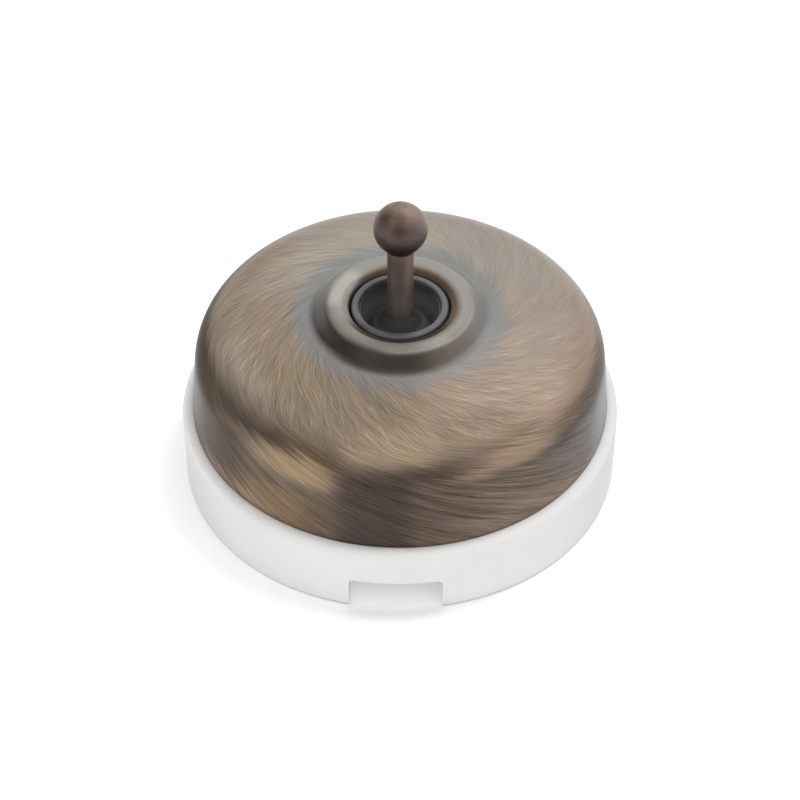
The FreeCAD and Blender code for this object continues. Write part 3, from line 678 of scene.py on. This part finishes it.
    # Wall: browner and streaked, with painted reflections: lighter at the foot, gold on the left of the
    # front and cool grey on the right
    streak = calc(tree, "MULTIPLY_ADD", fine, 0.55, calc(tree, "MULTIPLY", broad, 0.45))
    side = colour_mix(tree, fade(tree, streak, 0.42, 0.58), dark_brown, light_brown)
    colour = tinted(colour, (
        (side, 0.9, None, (37.0, 42.5), None),
        (dark_reflection, 0.19, (232, 26, 44), (43.8, 45.8), (49.5, 51.5)),
        (tan, 0.95, (310, 12, 30), (36.5, 39.0), (41.2, 43.8)),
        (light_brown, 0.50, None, (46.0, 50.0), None),
        (tan, 0.20, (306, 14, 36), (50.3, 52.0), None),
        (cool, 0.68, (352, 14, 40), (42.0, 45.0), None),
        (russet, 0.80, (228, 12, 28), (46.8, 50.5), None),
        (gold, 0.80, (240, 3, 17), (38.5, 41.2), (43.4, 47.8)),
        (tan, 0.35, (217, 6, 14), (40.0, 42.5), (43.0, 46.0)),
        (dark_reflection, 0.25, (229, 3, 9), (43.0, 45.0), (49.0, 51.0)),
        (russet, 0.26, (215, 6, 13), (41.5, 43.5), (47.5, 50.0)),
        (tan, 0.75, (210, 14, 30), (53.5, 54.8), None),
        (tan, 0.15, (275, 20, 40), (54.3, 55.2), None),
        (tan, 0.45, (334, 12, 28), (54.0, 55.2), None)))
    # Painted dark reflections and painted shade: along the left shoulder, sinking to the back, down the
    # front and on the right
    sunk = calc(tree, "SINE", calc(tree, "SUBTRACT", around, math.radians(222.0)))
    sunk = calc(tree, "MULTIPLY_ADD", sunk, 0.0105, far)
    sinking = joined(fade(tree, sunk, 0.0416, 0.0387), 0.63)
    colour = tinted(colour, (
        (umber, sinking, (207, 30, 52), (36.4, 38.8), None),
        (dark_reflection, 0.84, (160, 26, 46), (34.9, 39.0), (44.5, 49.0)),
        (red_brown, 0.55, (241, 6, 18), (34.5, 37.0), (38.3, 40.5)),
        (dark_reflection, 0.90, (206, 8, 22), (40.5, 44.5), (51.0, 57.5)),
        (umber, 0.25, (214, 6, 14), (34.5, 36.2), (37.8, 39.2)),
        (umber, 0.66, (264, 4, 14), (39.0, 43.0), None),
        (umber, 0.25, (275, 8, 22), (41.0, 45.0), None),
        (umber, 0.26, (263, 14, 24), (47.0, 50.0), None),
        (umber, 0.14, (298, 12, 26), (47.0, 49.0), (51.5, 53.0)),
        (umber, 0.40, (283, 8, 18), (36.0, 38.5), (39.8, 41.5)),
        (umber, 0.52, (341, 14, 28), (37.0, 40.5), (43.2, 46.8))))
    # Strokes: they bite deepest on the left and front and on the wall
    bite = calc(tree, "MAXIMUM", sector(tree, around, 228.0, 70.0, 150.0), on_wall)
    depth = joined(calc(tree, "MULTIPLY_ADD", bite, 0.6, 0.4),
                   calc(tree, "MULTIPLY_ADD", brushed, 0.85, 0.15))
    lines = fade(tree, calc(tree, "MAXIMUM", fine, calc(tree, "MAXIMUM", steep, flat_lying)), 0.52, 0.72)
    tone = 1.05
    for grain, weight in ((fine, 1.2), (steep, 0.8), (flat_lying, 0.8), (broad, 0.55), (lines, 0.28)):
        swing = calc(tree, "MULTIPLY", calc(tree, "SUBTRACT", grain, 0.5), depth)
        tone = calc(tree, "MULTIPLY_ADD", swing, weight, tone)
    colour = shade(tree, colour, tone)
    # Tarnish films: faint rosy and straw-coloured blotches, which the pad has drawn out a little
    blotches = calc(tree, "MULTIPLY", noise(tree, place, 150.0, 3.0, 0.6), 0.7)
    film = calc(tree, "MULTIPLY_ADD", broad, 0.3, blotches)
    cast = colour_mix(tree, fade(tree, film, 0.42, 0.58), rosy_cast, straw_cast)
    cast = colour_mix(tree, fade(tree, reach, 0.0185, 0.0240), no_cast, cast)
    colour = add_node(tree, "ShaderNodeVectorMath", {"operation": "MULTIPLY"},
                      {0: colour, 1: cast}).outputs[0]
    # Sheen: a painted reflection; the low wall's colour turns to a cool grey where it is seen along its
    # skin, lighter on the right
    grazing = add_node(tree, "ShaderNodeLayerWeight", {}, {"Blend": 0.5}).outputs["Facing"]
    right = sector(tree, around, 350.0, 20.0, 60.0)
    grazing = calc(tree, "MULTIPLY_ADD", right, 0.057, grazing)
    edge = colour_mix(tree, right, edge_grey, edge_light)
    low_wall = fade(tree, reach, 0.0432, 0.0478)
    colour = colour_mix(tree, joined(fade(tree, grazing, 0.71, 0.88), low_wall, 0.85), colour, edge)
    tree.links.new(colour, shader.inputs["Base Color"])
    # The lip is made dull, so that it hardly mirrors and stays dark as painted shade by the ring, and
    # the sheen is dimmed along the left shoulder
    dulled = fade(tree, reach, lip_clear, lip_dull)
    tree.links.new(calc(tree, "MULTIPLY_ADD", dulled, -0.85, 1.0), shader.inputs["Metallic"])
    shaded = joined(sector(tree, around, 172.0, 26.0, 46.0), fade(tree, reach, 0.0370, 0.0395),
                    fade(tree, reach, 0.0450, 0.0415))
    tree.links.new(colour_mix(tree, shaded, full_sheen, dim_sheen), shader.inputs["Specular Tint"])
    rough = calc(tree, "MULTIPLY_ADD", fine, 0.2, 0.24)
    tree.links.new(calc(tree, "MULTIPLY_ADD", flat_lying, 0.08, rough), shader.inputs["Roughness"])
    grooves = calc(tree, "MULTIPLY_ADD", calc(tree, "ADD", steep, flat_lying), 0.5, fine)
    raise_surface(tree, shader, joined(grooves, brushed), 0.3, 0.00012)
    return material


def spun_cover():
    low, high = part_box("brass_cover")
    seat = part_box("retaining_ring")[0].z
    sheet = 0.0009
    rim_land = 0.0008
    wall_slope = math.tan(math.radians(4.2))
    crown_slope = math.tan(math.radians(11.2))
    shoulder_round = 0.0085
    collar_foot, collar_top, collar_rise = 0.0161, 0.01375, 0.00234
    foot_round, top_round = 0.0025, 0.0017
    hole, lip_round, seat_round = 0.0094, 0.0012, 0.0004
    seat_bore = 0.0084
    edge_break = 0.00018
    rim_top = low.z + rim_land
    foot_height = high.z - collar_rise
    # The crown and wall lines meet at the corner that the shoulder rounds
    crown_at_wall = foot_height - (high.x - collar_foot) * crown_slope
    inset = (crown_at_wall - rim_top) * wall_slope / (1 - wall_slope * crown_slope)
    piece = lathe("spun_cover", [
        (high.x, low.z, 0), (high.x, rim_top, 0),
        (high.x - inset, crown_at_wall + inset * crown_slope, shoulder_round),
        (collar_foot, foot_height, foot_round), (collar_top, high.z, top_round),
        (hole, high.z, lip_round), (hole, seat, seat_round), (seat_bore, seat, 0)],
        steps=192, arc_step=0.09)
    wall = piece.modifiers.new("sheet", "SOLIDIFY")
    wall.thickness = sheet
    wall.offset = -1.0
    wall.use_even_offset = True
    bpy.ops.object.modifier_apply(modifier=wall.name)
    edges = piece.modifiers.new("edges", "BEVEL")
    edges.width = edge_break
    edges.segments = 2
    edges.angle_limit = math.radians(60)
    bpy.ops.object.modifier_apply(modifier=edges.name)
    bpy.ops.object.shade_smooth_by_angle(angle=math.radians(40))
    piece.data.materials.append(aged_brass())
    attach(piece, "base")
    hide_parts("brass_cover")


spun_cover()


# Retaining ring: a turned ring nut, blacked, that screws on to the bush and holds the cover down. Its
# rounded top edge shows as a thin bright line inside the collar; its front left is painted darker, as
# painted shade, and its outer side paler, as painted light in the gap. The bush has the same blacking,
# painted paler down the bore as painted light against the shade of the hole.
def black_ring():
    blacking = (0.125, 0.126, 0.132)
    greyed = (0.175, 0.176, 0.182)
    black = (0.022, 0.022, 0.023)
    skirt = (0.100, 0.100, 0.103)
    dark_mouth = (0.050, 0.050, 0.051)
    bore_top = (0.115, 0.115, 0.118)
    bore_foot = (0.262, 0.262, 0.267)
    bore_deep = (0.450, 0.450, 0.458)
    skirt_in, skirt_out = 0.00880, 0.00896
    bore_in, bore_out = 0.00768, 0.00774
    mouth_low, mouth_high = 0.0374, 0.0376
    top_height, foot_height = 0.0375, 0.0335
    deep_high, deep_low = 0.0330, 0.0312
    material, tree, shader, place = new_material("black_ring")
    height, radius, around = about_axis(tree, place)
    marks = use_group(tree, turning_marks, {"Along": radius, "Place": place, "Pitch": 0.00012})
    rubbed_and_highlight = calc(tree, "MULTIPLY", fade(tree, marks["Rings"], 0.5, 0.72), 0.5)
    colour = colour_mix(tree, rubbed_and_highlight, blacking, greyed)
    # Painted shade: the ring is darker on its front left
    front_left_shade = calc(tree, "MULTIPLY", sector(tree, around, 248.0, 18.0, 48.0), 0.6)
    colour = colour_mix(tree, front_left_shade, colour, black)
    # Painted light: its outer side, in the gap round it, is paler
    colour = colour_mix(tree, fade(tree, radius, skirt_in, skirt_out), colour, skirt)
    # Painted light: the bore grows paler downward, against the shade of the hole
    bore = colour_mix(tree, fade(tree, height, top_height, foot_height), bore_top, bore_foot)
    bore = colour_mix(tree, fade(tree, height, deep_high, deep_low), bore, bore_deep)
    bore = colour_mix(tree, fade(tree, height, mouth_low, mouth_high), bore, dark_mouth)
    colour = colour_mix(tree, fade(tree, radius, bore_out, bore_in), colour, bore)
    tree.links.new(colour, shader.inputs["Base Color"])
    tree.links.new(calc(tree, "MULTIPLY_ADD", marks["Wander"], 0.2, 0.24), shader.inputs["Roughness"])
    raise_surface(tree, shader, marks["Rings"], 0.12, 0.0001)
    return material


def ring_nut(blacked):
    low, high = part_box("retaining_ring")
    thread, mouth = 0.00825, 0.00775
    lip = 0.0010
    seat_round, edge_round, mouth_round, edge_break = 0.0004, 0.0006, 0.0003, 0.0001
    piece = lathe("ring_nut", [
        (thread, low.z, 0), (high.x, low.z, seat_round), (high.x, high.z, edge_round),
        (mouth, high.z, mouth_round), (mouth, high.z - lip, edge_break),
        (thread, high.z - lip, 0), (thread, low.z, 0)], steps=160, arc_step=0.2)
    piece.data.materials.append(blacked)
    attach(piece, "base")
    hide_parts("retaining_ring")


blacked_metal = black_ring()
ring_nut(blacked_metal)
clothe(["threaded_bush"], blacked_metal)


# Stage: a white table under a bright, even sky, with three soft lamps: one behind for the sheen, one
# overhead for the shadow and a weak one before the switch. Three dim boards stand for the dark of the
# room: the front and left ones show only in the gloss of the switch, and the right one only shades it.
def seen_directly(tree):
    """1 on what the camera sees, straight or mirrored, and 0 on what only lights other things."""
    rays = add_node(tree, "ShaderNodeLightPath", {}, {}).outputs
    seen = calc(tree, "ADD", rays["Is Camera Ray"], rays["Is Glossy Ray"])
    return calc(tree, "ADD", seen, rays["Is Transmission Ray"], clamp=True)


def white_table():
    reach = 3.0
    white = (0.985, 0.985, 0.985, 1)
    glow, notch_glow = 0.175, 0.155
    notch_in, notch_out = 0.0395, 0.0425
    bpy.ops.object.select_all(action="DESELECT")
    bpy.ops.mesh.primitive_plane_add(size=2 * reach, location=(0, 0, cad_box[0][2]))
    table = bpy.context.object
    table.name = "table"
    bpy.ops.object.transform_apply(location=True)
    material, tree, shader, place = new_material("table_white")
    shader.inputs["Base Color"].default_value = white
    shader.inputs["Roughness"].default_value = 0.9
    shader.inputs["Specular IOR Level"].default_value = 0.0
    # It glows a little where it is seen, and more under the base, where the notch shows it
    from_axis = add_node(tree, "ShaderNodeVectorMath", {"operation": "LENGTH"}, {0: place})
    under = fade(tree, from_axis.outputs["Value"], notch_out, notch_in)
    strength = calc(tree, "MULTIPLY_ADD", under, notch_glow, glow)
    light = add_node(tree, "ShaderNodeEmission", {},
                     {"Strength": calc(tree, "MULTIPLY", seen_directly(tree), strength)})
    lifted = add_node(tree, "ShaderNodeAddShader", {},
                      {0: shader.outputs["BSDF"], 1: light.outputs["Emission"]})
    tree.links.new(lifted.outputs[0], tree.nodes["Material Output"].inputs["Surface"])
    table.data.materials.append(material)


def facing_centre(place):
    return (-place).to_track_quat("-Z", "Y").to_euler()


def dim_board(name, azimuth, elevation, width, height, mirrored):
    """Dark board that faces the switch, azimuth about Z from +X and elevation above the table, and is
    either only mirrored or only shades."""
    distance = 1.2
    dark = (0.03, 0.027, 0.025, 1)
    turn, rise = math.radians(azimuth), math.radians(elevation)
    place = distance * Vector((math.cos(turn) * math.cos(rise), math.sin(turn) * math.cos(rise),
                               math.sin(rise)))
    bpy.ops.object.select_all(action="DESELECT")
    bpy.ops.mesh.primitive_plane_add(size=1.0, location=place, rotation=facing_centre(place))
    board = bpy.context.object
    board.name = name
    board.scale = (width, height, 1)
    material, _, shader, _ = new_material(name)
    shader.inputs["Base Color"].default_value = dark
    shader.inputs["Roughness"].default_value = 1.0
    board.data.materials.append(material)
    board.visible_camera = False
    board.visible_glossy = mirrored
    board.visible_diffuse = board.visible_shadow = not mirrored


def soft_lamp(name, place, size, energy, mirrored):
    lamp = bpy.data.lights.new(name, "AREA")
    lamp.shape = "DISK"
    lamp.size = size
    lamp.energy = energy
    holder = bpy.data.objects.new(name, lamp)
    holder.location = place
    holder.rotation_euler = facing_centre(holder.location)
    holder.visible_glossy = mirrored
    bpy.context.scene.collection.objects.link(holder)


def bright_sky():
    dim = 0.78
    world = bpy.data.worlds.new("bright_sky")
    world.use_nodes = True
    tree = world.node_tree
    sky = tree.nodes["Background"]
    sky.inputs["Color"].default_value = (1, 1, 1, 1)
    strength = calc(tree, "MULTIPLY_ADD", seen_directly(tree), 1.0 - dim, dim)
    tree.links.new(strength, sky.inputs["Strength"])
    bpy.context.scene.world = world


def camera_as_photographed():
    elevation = math.radians(42.88)
    azimuth = math.radians(1.1)
    distance = 0.70
    focus = Vector((0, 0, 0.020))
    low_aim = 0.0039
    toward = Vector((math.sin(azimuth), -math.cos(azimuth), 0))
    eye = focus + distance * (toward * math.cos(elevation) + Vector((0, 0, math.sin(elevation))))
    aim = focus + low_aim * (toward * math.sin(elevation) - Vector((0, 0, math.cos(elevation))))
    camera = bpy.data.cameras.new("camera")
    camera.sensor_width = 36.0
    camera.lens = 166.5
    holder = bpy.data.objects.new("camera", camera)
    holder.location = eye
    holder.rotation_euler = (aim - eye).to_track_quat("-Z", "Y").to_euler()
    bpy.context.scene.collection.objects.link(holder)
    bpy.context.scene.camera = holder


white_table()
dim_board("dim_front", 268.0, 28.0, 1.12, 0.69, mirrored=True)
dim_board("dim_left", 172.0, 32.0, 1.28, 0.60, mirrored=True)
dim_board("dim_right", 16.0, 24.0, 1.70, 0.92, mirrored=False)
soft_lamp("sheen_lamp", (0.55, 0.45, 1.1), 0.9, 1.5, mirrored=True)
soft_lamp("shadow_lamp", (0.31, 0.17, 1.13), 0.26, 3.1, mirrored=False)
soft_lamp("fill_lamp", (0.70, -0.76, 0.60), 0.8, 0.75, mirrored=False)
bright_sky()
camera_as_photographed()
bpy.context.scene.view_settings.view_transform = "Standard"
